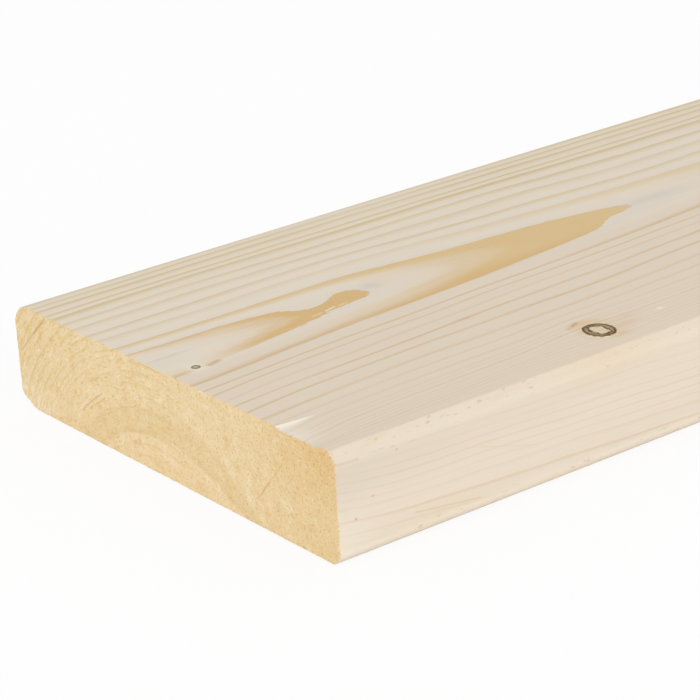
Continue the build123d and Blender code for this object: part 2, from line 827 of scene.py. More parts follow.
    def _face(
        self, place: Value, field: RingField, fibre: Value, bevel: Value, grit: Value, swirl: Value
    ) -> Value:
        """Colour of the planed faces.

        Args:
            place: The point of the wood.
            field: The rings there.
            fibre: Fine streaks along the grain.
            bevel: 1 on the eased arrises.
            grit: Fine grains.
            swirl: 1 close to a knot.

        Returns:
            The colour.
        """
        _, y, _ = place.split()
        patchy = place.cloud((0.012, 0.12, 0.12))
        strength = (0.4 + 1.2 * patchy) * y.ease(-91.5, -88.0, 0.7, 1.0)
        strength = strength * (1 + swirl * y.ease(-68.0, -78.0, 0.4, -0.5))
        strength = strength * y.ease(45.0, 78.0, 1.0, 1.3)
        strength = strength + (1 - strength) * field.middle
        late = field.far.blend(self.late_near, self.late_far)
        deep = (field.radius - self.rings.flame_ring).fade(0.0, 1.2).most((1 - field.far) * 1.6)
        over = field.middle * field.far.most(field.middle.ease(0.92, 1.0))
        late = over.blend(late, deep.blend(self.flame, self.flame_deep))
        early = field.far.blend(self.early_near, self.early_far)
        early = abs(y).ease(90.0, 91.8).blend(early, self.early_edge)
        fresh = field.phase.fade(0.0, 0.24)
        colour = early.coated(
            (field.late * strength, late),
            (y.ease(45.0, 78.0, 0.0, 0.13), self.late_far),
            (fresh * field.middle * 0.4, self.grey),
        )
        colour = colour.scaled(1 + (fibre - 0.5) * (0.09 + 0.1 * swirl))
        drift = place.cloud((0.006, 0.022, 0.022))
        colour = ((drift - 0.42) * 0.35).blend(colour, self.pale)
        # Paints the stains, the painted shade and painted light along the near edge's arrises, and the torn
        # strip with its painted highlight.
        for mark in (*self.stains_and_painted_light, self.splinter_with_highlight):
            colour = mark.paint(place, colour)
        nicks = place.cloud((0.3, 0.8, 0.8)).ease(0.63, 0.72)
        return colour.coated((bevel * (0.1 + 0.4 * grit), self.pale), (nicks * bevel * 0.5, self.nick))

    def _branches(self, place: Value, face: Value, branches: dict[KnotKind, KnotField]) -> Value:
        """Paints the knots over the planed faces.

        Args:
            place: The point of the wood.
            face: Colour of the planed faces.
            branches: The nearest branch of each kind.

        Returns:
            The colour with its knots.
        """
        crumble = place.cloud((0.6, 0.6, 0.6), 4.0, 0.7) - 0.5
        paints = {
            KnotKind.INTERGROWN: self._live_knot,
            KnotKind.ENCASED: self._dead_knot,
            KnotKind.PIN: self._pin_knot,
        }
        colour = face
        for kind, branch in branches.items():
            colour = paints[kind](colour, branch, crumble)
        return colour

    def _live_knot(self, under: Value, branch: KnotField, crumble: Value) -> Value:
        """Paints live branches over a colour: warm wood with rings of its own and a soft glow round it.

        Args:
            under: The colour below.
            branch: The nearest branch.
            crumble: Noise about 0.

        Returns:
            The colour with its knots.
        """
        share = branch.share + crumble * 0.2
        core = ((share * 26.0).sine() * 0.35 + 0.35).blend(self.heart, self.heart_dark)
        return under.coated((share.ease(0.8, 2.2, 0.55, 0.0), self.flame), (share.fade(0.88, 1.06), core))

    def _dead_knot(self, under: Value, branch: KnotField, crumble: Value) -> Value:
        """Paints dead branches over a colour: pale wood inside a double ring of dark, broken bark.

        Args:
            under: The colour below.
            branch: The nearest branch.
            crumble: Noise about 0 that breaks the ring.

        Returns:
            The colour with its knots.
        """
        share, away = branch.share, branch.away
        ragged = away.dot((-0.45, -0.85, 0.0)).ease(0.3, 0.8)
        worn = share + crumble * (0.22 + 0.55 * ragged)
        core = away.times((1.0, 0.7, 0.7)).length() + crumble * 0.55 + share.ease(2.2, 2.4, 0.0, 9.0)
        inside = worn.fade(0.97, 1.05)
        arch = share.ease(1.2, 1.5) * share.fade(1.6, 2.1) * away.dot((0.3, 1.0, 0.0)).ease(0.6, 1.5)
        bark = core.ease(0.42, 0.5) * inside
        inner_ring = core.ease(0.43, 0.49) * core.fade(0.55, 0.64)
        dark = worn.ease(0.81, 0.89).most(inner_ring).most((worn * 48.0).sine() * 0.3 + 0.3)
        dark = dark.most(away.dot((-0.85, -0.5, 0.0)).ease(0.25, 0.75) * 0.5)
        chips = share.ease(1.02, 1.06) * share.fade(1.14, 1.3) * crumble.ease(-0.02, 0.08) * ragged
        return under.coated(
            (share.ease(0.9, 1.8, 0.32, 0.0), self.flame),
            (arch * 0.3, self.flame),
            (inside, (crumble + 0.35).blend(self.dead_wood, self.late_near)),
            (bark * 0.85, self.bark_worn),
            (bark * dark * 0.95, self.bark),
            (chips * 0.6, self.torn),
        )

    def _pin_knot(self, under: Value, branch: KnotField, crumble: Value) -> Value:
        """Paints dead twigs over a colour: a grey dot with a dark edge."""
        core = (branch.share + crumble * 0.5).ease(0.35, 0.75).blend(self.twig, self.twig_edge)
        return (branch.share + crumble * 0.2).ease(0.86, 1.1, 0.92, 0.0).blend(under, core)

    @staticmethod
    def _fray(place: Value, grit: Value) -> Value:
        """1 where the saw frayed the long faces right beside the ends.

        Args:
            place: The point of the wood.
            grit: Fine grains.

        Returns:
            The share of frayed wood.
        """
        x, _, _ = place.split()
        length = (CAD_BOX[1].x - CAD_BOX[0].x) / MM
        return (x.least(length - x) + (grit - 0.5) * 4.2).ease(0.1, 0.7, 0.9, 0.0)

    def _end(self, place: Value, field: RingField, grit: Value) -> Value:
        """Colour of the sawn ends.

        Args:
            place: The point of the wood.
            field: The rings there.
            grit: Fine grains.

        Returns:
            The colour.
        """
        graph = place.graph
        _, y, z = place.split()
        wander = place.cloud((0.02, 0.1, 0.1), 3.0) - 0.5
        near = (-field.sweep).most(0.0)
        flatter = near * near * field.radius.ease(60.0, 78.0, 0.0024, 0.0)
        ring = field.radius - flatter + wander * 4.0
        band = ring.ease(49.5, 51.0) * ring.fade(55.0, 63.0)
        stops = [((radius - self.end_from) / self.end_span, tone) for radius, tone in self.end_tones]
        scaled = (ring - self.end_from) / self.end_span
        colour = graph.node("ShaderNodeValToRGB", {"stops": stops}, {"Fac": scaled}, "Color")
        patch = place.cloud((0.02, 0.19, 0.19), 3.0, 0.6)
        corner = (z + wander * 24.0).ease(8.0, 36.0, 0.25, 1.0) * (y + wander * 40.0).ease(-38.0, -88.0)
        around = graph.node("ShaderNodeCombineXYZ", {}, {0: field.radius, 1: field.sweep * 0.22})
        broken = around.cloud((0.25, 0.35, 1.0)).ease(0.3, 0.6)
        line = field.phase.ease(0.45, 0.92) * field.phase.fade(0.95, 1.0)
        outer = field.radius.ease(60.0, 85.0, 0.55, 1.0)
        mark = (0.25 + 0.75 * field.late) * (0.15 + 0.29 * field.far) * outer
        dots = place.cloud((0.02, 0.95, 0.95))
        specks = place.plus((0.0, 61.0, 17.0)).cloud((0.02, 0.9, 0.9))
        pores = around.cloud((1.2, 1.1, 1.0), 3.0, 0.6)
        torn = around.cloud((0.65, 1.1, 1.0), 3.0, 0.6)
        tear = (0.2 + 0.3 * field.far) * (1 - 0.4 * band)
        yellow = around.plus((13.0, 41.0, 5.0)).cloud((1.1, 1.5, 1.0), 1.0)
        foot = z.ease(15.0, 3.0) * y.ease(58.0, 84.0) * torn.ease(0.42, 0.6)
        colour = colour.coated(
            (patch.ease(0.5, 0.74) * 0.4, self.end_warm),
            (patch.ease(0.48, 0.27) * (0.45 - 0.3 * band), self.end_pale),
            (corner * 0.5, self.end_warm),
            (line * broken * mark, self.end_dark),
            (dots.ease(0.56, 0.7) * (0.48 - 0.24 * field.far + 0.3 * corner), self.end_dark),
            (specks.ease(0.6, 0.74) * (0.45 - 0.3 * band), self.end_pale),
            (pores.ease(0.56, 0.7) * (0.3 + 0.2 * field.far), self.end_dark),
            (torn.ease(0.57, 0.72) * tear, self.end_pale),
            (yellow.ease(0.61, 0.66) * (0.12 + 0.52 * field.far) * outer, self.end_yellow),
            (foot * 0.6, self.end_pale),
        )
        return colour.scaled(0.9 + 0.2 * grit)

    def _height(self, place: Value, grit: Value, sawn: Value, bevel: Value) -> Value:
        """Fine relief in millimetres: raised grain on the faces, torn fibres on the ends.

        Args:
            place: The point of the wood.
            grit: Fine grains.
            sawn: 1 on the ends.
            bevel: 1 on the eased arrises.

        Returns:
            The height.
        """
        streaks = place.cloud(self.streak, 4.0, 0.6)
        face = 0.06 * (streaks - 0.5) + 0.12 * bevel * (grit - 0.5)
        end = 0.4 * (grit - 0.5) + 0.2 * (place.cloud((0.02, 2.6, 2.6)) - 0.5)
        return face + (end - face) * sawn


@dataclass(frozen=True)
class Bevel:
    """How one long arris is eased, in millimetres.

    Attributes:
        face, edge: What it takes off the broad face and off the narrow edge.
        face_blend, edge_blend: How its corners with them are worn.
    """

    face: float
    edge: float
    face_blend: float
    edge_blend: float


@dataclass
class Section:
    """The plank's planed section, in millimetres across from its middle and up from its underside.

    Attributes:
        width, height: Its size.
        near_top, near_bottom, far_top, far_bottom: Its eased arrises.
        arc_steps: How many straight steps make a worn corner.
        low, high: Its lower and its upper outline, which it works out itself.
    """

    width: float
    height: float
    near_top: Bevel = Bevel(3.1, 3.1, 0.6, 2.5)
    near_bottom: Bevel = Bevel(3.2, 3.2, 0.6, 2.5)
    far_top: Bevel = Bevel(5.0, 5.0, 6.5, 6.5)
    far_bottom: Bevel = Bevel(9.0, 4.0, 12.0, 4.0)
    arc_steps: int = 10
    low: np.ndarray = field(init=False)
    high: np.ndarray = field(init=False)

    def __post_init__(self) -> None:
        """Works out the lower and the upper outline."""
        outline = self._outline()
        low = outline[:, 1] < self.height / 2
        self.low, self.high = (half[np.argsort(half[:, 0])] for half in (outline[low], outline[~low]))

    def _outline(self) -> np.ndarray:
        """Points of the whole outline, with its corners rounded.

        Returns:
            The points, each across and up.
        """
        half = self.width / 2
        corners = (
            (self.near_bottom.face - half, 0.0, self.near_bottom.face_blend),
            (half - self.far_bottom.face, 0.0, self.far_bottom.face_blend),
            (half, self.far_bottom.edge, self.far_bottom.edge_blend),
            (half, self.height - self.far_top.edge, self.far_top.edge_blend),
            (half - self.far_top.face, self.height, self.far_top.face_blend),
            (self.near_top.face - half, self.height, self.near_top.face_blend),
            (-half, self.height - self.near_top.edge, self.near_top.edge_blend),
            (-half, self.near_bottom.edge, self.near_bottom.edge_blend),
        )
        points = [Vector(corner[:2]) for corner in corners]
        outline = []
        for index, point in enumerate(points):
            ahead = (points[(index + 1) % len(points)] - point).normalized()
            behind = (points[index - 1] - point).normalized()
            outline += self._round(point, behind, ahead, corners[index][2])
        return np.array(outline)

    def _round(self, point: Vector, behind: Vector, ahead: Vector, blend: float) -> list[Vector]:
        """Points of one rounded corner.

        Args:
            point: The corner.
            behind, ahead: Directions of its two sides.
            blend: Radius of the rounding.

        Returns:
            Points along the arc.
        """
        turn = math.pi - behind.angle(ahead)
        start = point + behind * (blend * math.tan(turn / 2))
        inwards = (behind + ahead).normalized()
        centre = point + inwards * (blend / math.cos(turn / 2))
        arm = start - centre
        turns = [Matrix.Rotation(turn * step / self.arc_steps, 2) for step in range(self.arc_steps + 1)]
        return [centre + turned @ arm for turned in turns]

    def heights(self, across: Any) -> tuple[Any, Any]:
        """Lowest and highest points of the section at places across it."""
        return tuple(np.interp(across, *half.T) for half in (self.low, self.high))


def runs(start: float, *stretches: tuple[float, float]) -> np.ndarray:
    """Places along a line, each stretch cut evenly.

    Args:
        start: Where the first stretch starts.
        stretches: Where each stretch ends, and about how far apart its places are.

    Returns:
        The places after the start, up to the last stretch's end.
    """
    places = []
    for end, step in stretches:
        count = max(1, round((end - start) / step))
        places.append(np.linspace(start, end, count + 1)[1:])
        start = end
    return np.concatenate(places)


@dataclass(frozen=True)
class BakeMap:
    """Where the plank's faces lie on its bake map, which is 1 wide and 1 high.

    Attributes:
        low, high: The plank's box.
        sides_left, sides_wide, sides_from, sides_high: Where the long faces lie.
        underside, near_edge: How much of their true height those faces get.
        near_part, near_share: How far from the near end the plank gets more of the map, and how much more.
        skim: How near to a face a point counts as lying on it, against the plank's size.
        ends, end_step, end_wide, end_high: Where the sawn ends lie, how far apart they are, and their size.
    """

    low: Vector
    high: Vector
    sides_left: float = 0.003
    sides_wide: float = 0.994
    sides_from: float = 0.17
    sides_high: float = 0.825
    underside: float = 0.62
    near_edge: float = 1.35
    near_part: float = 0.33
    near_share: float = 2.6
    skim: float = 0.02
    ends: float = 0.004
    end_step: float = 0.5
    end_wide: float = 0.49
    end_high: float = 0.155

    @staticmethod
    def _fit(steps: np.ndarray, size: float) -> np.ndarray:
        """Ends of the steps, which together take up a size."""
        run = np.concatenate([[0.0], np.cumsum(steps)])
        return size * run / run[-1]

    def up(self, y: np.ndarray, z: np.ndarray) -> np.ndarray:
        """Place of each rim point up the map, with more of it for the faces that show most.

        Args:
            y, z: The rim's points, in order round the section.

        Returns:
            Their places, and the first one's place after a full turn.
        """
        next_y, next_z = np.roll(y, -1), np.roll(z, -1)
        steps = np.hypot(next_y - y, next_z - z)
        below = (next_z + z) / 2 < self.high.z * self.skim
        near = (next_y + y) / 2 < self.low.y * (1 - self.skim)
        steps *= np.where(below, self.underside, np.where(near, self.near_edge, 1.0))
        return self.sides_from + self._fit(steps, self.sides_high)

    def along(self, x: np.ndarray) -> np.ndarray:
        """Place of each station along the map, with more of it for the near end."""
        steps = np.diff(x) * np.where(x[:-1] < self.low.x + self.near_part, self.near_share, 1.0)
        return self.sides_left + self._fit(steps, self.sides_wide)

    def on_end(self, end: int, y: float, z: float) -> tuple[float, float]:
        """Place of a point of the near end, 0, or the far end, 1.

        Args:
            end: Which end it is.
            y, z: The point.

        Returns:
            Its place, along and up.
        """
        across = (y - self.low.y) / (self.high.y - self.low.y)
        up = (z - self.low.z) / (self.high.z - self.low.z)
        return self.ends + self.end_step * end + self.end_wide * across, self.ends + self.end_high * up


@dataclass
class Plank:
    """The plank's own surface, with its worn arrises, torn end and rough saw cuts, in metres.

    Attributes:
        finish: Its wood.
        rows: How many places the mesh has up each narrow edge.
        end_cuts: How finely each cell of the sawn ends is cut.
        eased: How far an arris is eased where it starts to count as a bevel.
        saw_depth, saw_fade: How deep the saw tore the ends, and how far from them that reaches.
        saw_fine, saw_broad, chip_grain: How often the saw's marks and chips come, for each metre.
        chip, chip_reach: How deep the saw chipped the end arrises, and how far that reaches.
        core: How far inside the long faces the line lies that chipped points move towards.
        tear_depth, tear_length: Size of the strip torn off the top face at the near end.
        tear_bank, tear_drift, tear_slope: Where its far edge meets the end, how far that edge moves across
            for each metre, and how wide its slope is.
        tear_foot, tear_rim: Where its near edge lies, and how wide its slope is.
        tear_grain: How often its roughness changes along and across, for each metre.
        low, high, outline: The plank's box and section, which it works out itself.
    """

    finish: PlanedSpruce
    rows: int = 22
    end_cuts: int = 2
    eased: float = 0.1 * MM
    saw_depth: float = 0.42 * MM
    saw_fade: float = 4.0 * MM
    saw_fine: float = 700.0
    saw_broad: float = 160.0
    chip_grain: float = 420.0
    chip: float = 0.28 * MM
    chip_reach: float = 1.3 * MM
    core: float = 19.0 * MM
    tear_depth: float = 0.8 * MM
    tear_length: float = 18.0 * MM
    tear_bank: float = -61.0 * MM
    tear_drift: float = -0.12
    tear_slope: float = 4.5 * MM
    tear_foot: float = -84.0 * MM
    tear_rim: float = 1.6 * MM
    tear_grain: tuple[float, float] = (180.0, 600.0)
    low: Vector = field(init=False)
    high: Vector = field(init=False)
    outline: Section = field(init=False)

    def __post_init__(self) -> None:
        """Reads the plank's box and works out its section."""
        self.low, self.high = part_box(NODE)
        self.outline = Section((self.high.y - self.low.y) / MM, (self.high.z - self.low.z) / MM)

    def build(self) -> bpy.types.Object:
        """Builds and dresses the plank.

        Returns:
            The finished piece.
        """
        across = self.low.y + MM * self._columns((self.high.y - self.low.y) / MM)
        along = self.low.x + MM * self._stations((self.high.x - self.low.x) / MM)
        mesh = self._skin(across, along)
        self._mark(mesh)
        self._cut_ends(mesh)
        self._wear(mesh)
        mesh.materials.append(self.finish.make())
        return add("plank_surface", mesh)

    @staticmethod
    def _columns(width: float) -> np.ndarray:
        """Places across the plank in millimetres from its near edge, close together at bevels and knot.

        Args:
            width: The plank's width in millimetres.

        Returns:
            The places, in rising order.
        """
        near = np.array([0.0, 0.06, 0.25, 0.6, 1.1, 1.7, 2.3, 2.7, 2.92, 3.33, 3.6])
        middle = runs(near[-1], (10.0, 1.8), (34.0, 0.85), (171.0, 2.3), (width - 3.0, 0.8))
        far = width - np.array([2.4, 1.7, 1.1, 0.6, 0.25, 0.06, 0.0])
        return np.concatenate([near, middle, far])

    @staticmethod
    def _stations(length: float) -> np.ndarray:
        """Places along the plank in millimetres from its near end, close together at ends and knot.

        Args:
            length: The plank's length in millimetres.

        Returns:
            The places, in rising order.
        """
        end = np.array([0.0, 0.15, 0.4, 0.8, 1.3, 2.0, 2.8, 3.8, 5.0, 6.5, 8.5, 11.0])
        shown = ((25.0, 2.8), (116.0, 6.0), (133.0, 0.85), (141.0, 4.0), (330.0, 8.0))
        middle = runs(end[-1], *shown, (length - 35.0, 24.0))
        return np.concatenate([end, middle, (length - end)[::-1]])

    def _span(self, across: Any) -> tuple[Any, Any]:
        """Lowest and highest points of the section at places across it, in metres."""
        floor, roof = self.outline.heights(across / MM)
        return MM * floor, MM * roof

    def _skin(self, across: np.ndarray, along: np.ndarray) -> bpy.types.Mesh:
        """Sweeps the section along the plank and closes its ends with even grids.

        Args:
            across: Places across the section.
            along: Places along the plank.

        Returns:
            The mesh, with its bake map.
        """
        floor, roof = self._span(across)
        columns, rows = len(across), self.rows
        grid_y = np.repeat(across[:, None], rows, 1)
        grid_z = floor[:, None] + (roof - floor)[:, None] * np.linspace(0.0, 1.0, rows)
        rim = [(i, 0) for i in range(columns)] + [(columns - 1, j) for j in range(1, rows)]
        rim += [(i, rows - 1) for i in range(columns - 2, -1, -1)] + [(0, j) for j in range(rows - 2, 0, -1)]
        rim_y, rim_z = (grid[tuple(np.array(rim).T)] for grid in (grid_y, grid_z))
        around = len(rim)
        verts = [(x, y, z) for x in along for y, z in zip(rim_y, rim_z)]
        faces: list[tuple[int, ...]] = []
        places: list[tuple[float, float]] = []
        bake = BakeMap(self.low, self.high)
        map_x, map_y = bake.along(along), bake.up(rim_y, rim_z)
        for k, j in product(range(len(along) - 1), range(around)):
            corners = ((k, j), (k, j + 1), (k + 1, j + 1), (k + 1, j))
            faces.append(tuple(a * around + b % around for a, b in corners))
            places += [(map_x[a], map_y[b]) for a, b in corners]
        for end, station in enumerate((0, len(along) - 1)):
            index = {cell: station * around + j for j, cell in enumerate(rim)}
            for cell in product(range(columns), range(rows)):
                if cell not in index:
                    index[cell] = len(verts)
                    verts.append((along[station], grid_y[cell], grid_z[cell]))
            for i, j in product(range(columns - 1), range(rows - 1)):
                cells = [(i, j), (i, j + 1), (i + 1, j + 1), (i + 1, j)]
                if end:
                    cells.reverse()
                faces.append(tuple(index[cell] for cell in cells))
                places += [bake.on_end(end, grid_y[cell], grid_z[cell]) for cell in cells]
        mesh = bpy.data.meshes.new("plank_surface")
        mesh.from_pydata(verts, [], faces)
        layer = mesh.uv_layers.new(name=BAKE_MAP)
        layer.uv.foreach_set("vector", np.array(places, np.float32).ravel())
        return mesh

    def _mark(self, mesh: bpy.types.Mesh) -> None:
        """Marks the sawn ends and the eased arrises for the material.

        Args:
            mesh: The plank's mesh.
        """
        co = np.empty(len(mesh.vertices) * 3)
        mesh.vertices.foreach_get("co", co)
        x, y, z = co.reshape(-1, 3).T
        sawn = (x < self.low.x + HAIR) | (x > self.high.x - HAIR)
        floor, roof = self._span(y)
        bevel = (z > roof - HAIR) & (roof < self.high.z - self.eased)
        bevel |= (z < floor + HAIR) & (floor > self.eased)
        for name, flag in ((SAWN, sawn), (BEVEL, bevel & ~sawn)):
            mesh.attributes.new(name, "FLOAT", "POINT").data.foreach_set("value", flag.astype(np.float32))

    def _cut_ends(self, mesh: bpy.types.Mesh) -> None:
        """Cuts the sawn ends' cells finer and keeps their arrises sharp.

        Args:
            mesh: The plank's mesh.
        """
        made = bmesh.new()
        made.from_mesh(mesh)
        layer = made.verts.layers.float[SAWN]

        def on_end(face: bmesh.types.BMFace) -> bool:
            """Whether a face lies on a sawn end."""
            return all(vert[layer] > 0.5 for vert in face.verts)

        edges = list(dict.fromkeys(edge for face in made.faces if on_end(face) for edge in face.edges))
        bmesh.ops.subdivide_edges(made, edges=edges, cuts=self.end_cuts, use_grid_fill=True)
        bmesh.ops.triangulate(made, faces=[face for face in made.faces if len(face.verts) > 4])
        for face in made.faces:
            face.smooth = True
        for edge in made.edges:
            edge.smooth = len({on_end(face) for face in edge.link_faces}) == 1
        made.to_mesh(mesh)
        made.free()

    def _wear(self, mesh: bpy.types.Mesh) -> None:
        """Gives the ends their saw marks, chips their arrises and tears the strip out of the top face.

        Args:
            mesh: The plank's mesh.
        """
        for vertex in mesh.vertices:
            co = vertex.co
            near, far = co.x - self.low.x, self.high.x - co.x
            floor, roof = self._span(co.y)
            if near < self.tear_length:
                self._tear(co, near, floor, roof)
            gone = min(near, far)
            if gone < self.saw_fade:
                rim = min(co.z - floor, roof - co.z, co.y - self.low.y, self.high.y - co.y)
                self._saw(co, gone, rim, 1.0 if near < far else -1.0)
        mesh.update()

    def _tear(self, co: Vector, near: float, floor: float, roof: float) -> None:
        """Lowers one point where a strip was torn off the top face, less so further down.

        Args:
            co: The point.
            near: How far it lies from the near end.
            floor, roof: The section's lowest and highest points there.
        """
        inner = clip((self.tear_bank + self.tear_drift * near - co.y) / self.tear_slope)
        outer = clip((co.y - self.tear_foot) / self.tear_rim)
        fade = max(0.0, 1.0 - near / self.tear_length)
        grain_along, grain_across = self.tear_grain
        rough = 1.0 + 0.35 * noise.noise(Vector((near * grain_along, co.y * grain_across, 3.0)))
        up = max(0.0, (co.z - floor) / (roof - floor)) ** 3
        co.z -= self.tear_depth * inner * outer * fade * rough * up

    def _saw(self, co: Vector, gone: float, rim: float, inwards: float) -> None:
        """Moves one point near a sawn end.

        Args:
            co: The point.
            gone: How far it lies from the end.
            rim: How far it lies from the long faces.
            inwards: Which way along X leads into the wood.
        """
        grains = ((7, self.saw_fine), (3, self.saw_broad), (11, self.chip_grain))
        fine, broad, rough = (noise.noise(Vector((inwards * seed, co.y * grain, co.z * grain)))
                              for seed, grain in grains)
        depth = self.saw_depth * clip(0.45 + 0.35 * fine + 0.3 * broad)
        reach = max(0.0, 1.0 - gone / self.chip_reach) * max(0.0, 1.0 - rim / self.chip_reach)
        core = Vector((co.x, min(max(co.y, self.low.y + self.core), self.high.y - self.core), self.core))
        co += (core - co).normalized() * (self.chip * max(0.0, 0.15 + rough) * reach)
        co.x += inwards * depth * (1.0 - gone / self.saw_fade) ** 2


@dataclass(frozen=True)
class RawFibre:
    """Loose fibres that the saw left standing: the colour of fresh sawdust.

    Attributes:
        colour, tip: Their colour and the paler one here and there.
        grain: How often those change, for each metre.
    """

    colour: Colour = srgb(228, 198, 145)
    tip: Colour = srgb(247, 232, 199)
    grain: float = 900.0

    def make(self) -> bpy.types.Material:
        """Builds the material, paler here and there along each fibre.

        Returns:
            The material, which reads Object coordinates.
        """
        material = bpy.data.materials.new("raw_fibre")
        graph = blank(material)
        seen = graph.node("ShaderNodeTexCoord", {}, {}, "Object")
        colour = seen.cloud((self.grain,) * 3).blend(self.colour, self.tip)
        sockets = {"Base Color": colour, "Roughness": 0.85, "Specular IOR Level": 0.2}
        shader = graph.node("ShaderNodeBsdfPrincipled", {}, sockets)
        graph.raw("ShaderNodeOutputMaterial", {}, {"Surface": shader})
        return material


@dataclass
class SawnFibres:
    """Short fibres standing on both sawn ends, scattered by Geometry Nodes.

    Attributes:
        finish: Their material.
        density: How many there are to a square metre.
        length, thickness: Size of the largest.
        stray: Least and most that they lean away from the end, against the way out of it.
        sizes: Least and most of their size, against the largest.
        seed: Seed of their scatter.
    """

    finish: RawFibre = RawFibre()
    density: float = 190000.0
    length: float = 1.1 * MM
    thickness: float = 0.17 * MM
    stray: tuple[Point, Point] = ((-1.0, -1.6, -1.6), (1.0, 1.6, 1.6))
    sizes: tuple[Point, Point] = ((0.4, 0.4, 0.25), (1.0, 1.0, 1.0))
    seed: int = 4

    def build(self, plank: bpy.types.Object) -> bpy.types.Object:
        """Scatters the fibres over the plank's ends.

        Args:
            plank: The plank's surface, which is left as it is.

        Returns:
            The finished piece.
        """
        piece = add("sawn_fibres", plank.data.copy())
        inputs = self._inputs()
        tree = self._tree({name: kind for name, (kind, _) in inputs.items()})
        modifier = piece.modifiers.new("fibres", "NODES")
        modifier.node_group = tree
        for socket in tree.interface.items_tree:
            if socket.name in inputs:
                modifier[socket.identifier] = inputs[socket.name][1]
        bpy.context.view_layer.update()
        evaluated = piece.evaluated_get(bpy.context.evaluated_depsgraph_get())
        mesh = bpy.data.meshes.new_from_object(evaluated)
        piece.modifiers.remove(modifier)
        piece.data = mesh
        return piece

    def _inputs(self) -> dict[str, tuple[str, Any]]:
        """The tree's inputs by name: each one's kind of socket and its value.

        Returns:
            The inputs, in the order of the tree's sockets.
        """
        low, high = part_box(NODE)
        return {
            "Density": ("Float", self.density),
            "Length": ("Float", self.length),
            "Thickness": ("Float", self.thickness),
            "Seed": ("Int", self.seed),
            "Low Corner": ("Vector", tuple(low)),
            "High Corner": ("Vector", tuple(high)),
        }

    def _tree(self, kinds: dict[str, str]) -> bpy.types.NodeTree:
        """Builds the tree.

        Args:
            kinds: The kind of each input's socket, by its name.

        Returns:
            The tree.
        """
        tree = bpy.data.node_groups.new("sawn_fibres", "GeometryNodeTree")
        for name, kind in {"Geometry": "Geometry", **kinds}.items():
            tree.interface.new_socket(name, in_out="INPUT", socket_type="NodeSocket" + kind)
        tree.interface.new_socket("Geometry", in_out="OUTPUT", socket_type="NodeSocketGeometry")
        graph = Graph(tree)
        source = graph.raw("NodeGroupInput", {}, {})
        given = {name: Value(graph, source.outputs[name]) for name in ("Geometry", *kinds)}
        sawn = graph.node("GeometryNodeInputNamedAttribute", {"data_type": "FLOAT"}, {"Name": SAWN})
        on_end = graph.node("FunctionNodeCompare", {"operation": "GREATER_THAN"}, {0: sawn, 1: 0.99})
        sockets = {"Mesh": given["Geometry"], "Selection": on_end}
        sockets |= {name: given[name] for name in ("Density", "Seed")}
        scatter = graph.raw("GeometryNodeDistributePointsOnFaces", {"distribute_method": "RANDOM"}, sockets)
        points, normal = (Value(graph, scatter.outputs[name]) for name in ("Points", "Normal"))
        sockets = {"Vertices": 3, "Radius Top": 0.0}
        sockets |= {"Radius Bottom": given["Thickness"], "Depth": given["Length"]}
        cone = graph.node("GeometryNodeMeshCone", {"fill_type": "NGON"}, sockets)
        stray, size = (
            graph.node(
                "FunctionNodeRandomValue",
                {"data_type": "FLOAT_VECTOR"},
                {"Min": low, "Max": high, "Seed": given["Seed"]},
            )
            for low, high in (self.stray, self.sizes)
        )
        turn = graph.node("FunctionNodeAlignRotationToVector", {"axis": "Z"}, {"Vector": normal.plus(stray)})
        sockets = {"Points": points, "Instance": cone, "Rotation": turn, "Scale": size}
        placed = graph.node("GeometryNodeInstanceOnPoints", {}, sockets)
        real = graph.node("GeometryNodeRealizeInstances", {}, {"Geometry": placed})
        held = graph.node("GeometryNodeInputPosition", {}, {})
        for operation, corner in (("MAXIMUM", "Low Corner"), ("MINIMUM", "High Corner")):
            held = graph.node("ShaderNodeVectorMath", {"operation": operation}, {0: held, 1: given[corner]})
        kept = graph.node("GeometryNodeSetPosition", {}, {"Geometry": real, "Position": held})
        finish = self.finish.make()
        dressed = graph.node("GeometryNodeSetMaterial", {}, {"Geometry": kept, "Material": finish})
        graph.raw("NodeGroupOutput", {}, {"Geometry": dressed})
        return tree


@dataclass(frozen=True)
class SoftLamp:
    """A large soft lamp that looks at the near end.

    Attributes:
        place: Where it stands, in metres from the middle of the near end's underside.
        size: Its width and height.
        power: Its power in watts.
    """

    place: Point
    size: float
    power: float

    def build(self, name: str, target: Vector) -> None:
        """Builds the lamp, aimed at a point.

        Args:
            name: Its name.
            target: The point.
        """
        data = bpy.data.lights.new(name, "AREA")
        data.size = self.size
        data.energy = self.power
        lamp = add(name, data)
        lamp.location = target + Vector(self.place)
        lamp.rotation_euler = (target - lamp.location).to_track_quat("-Z", "Y").to_euler()


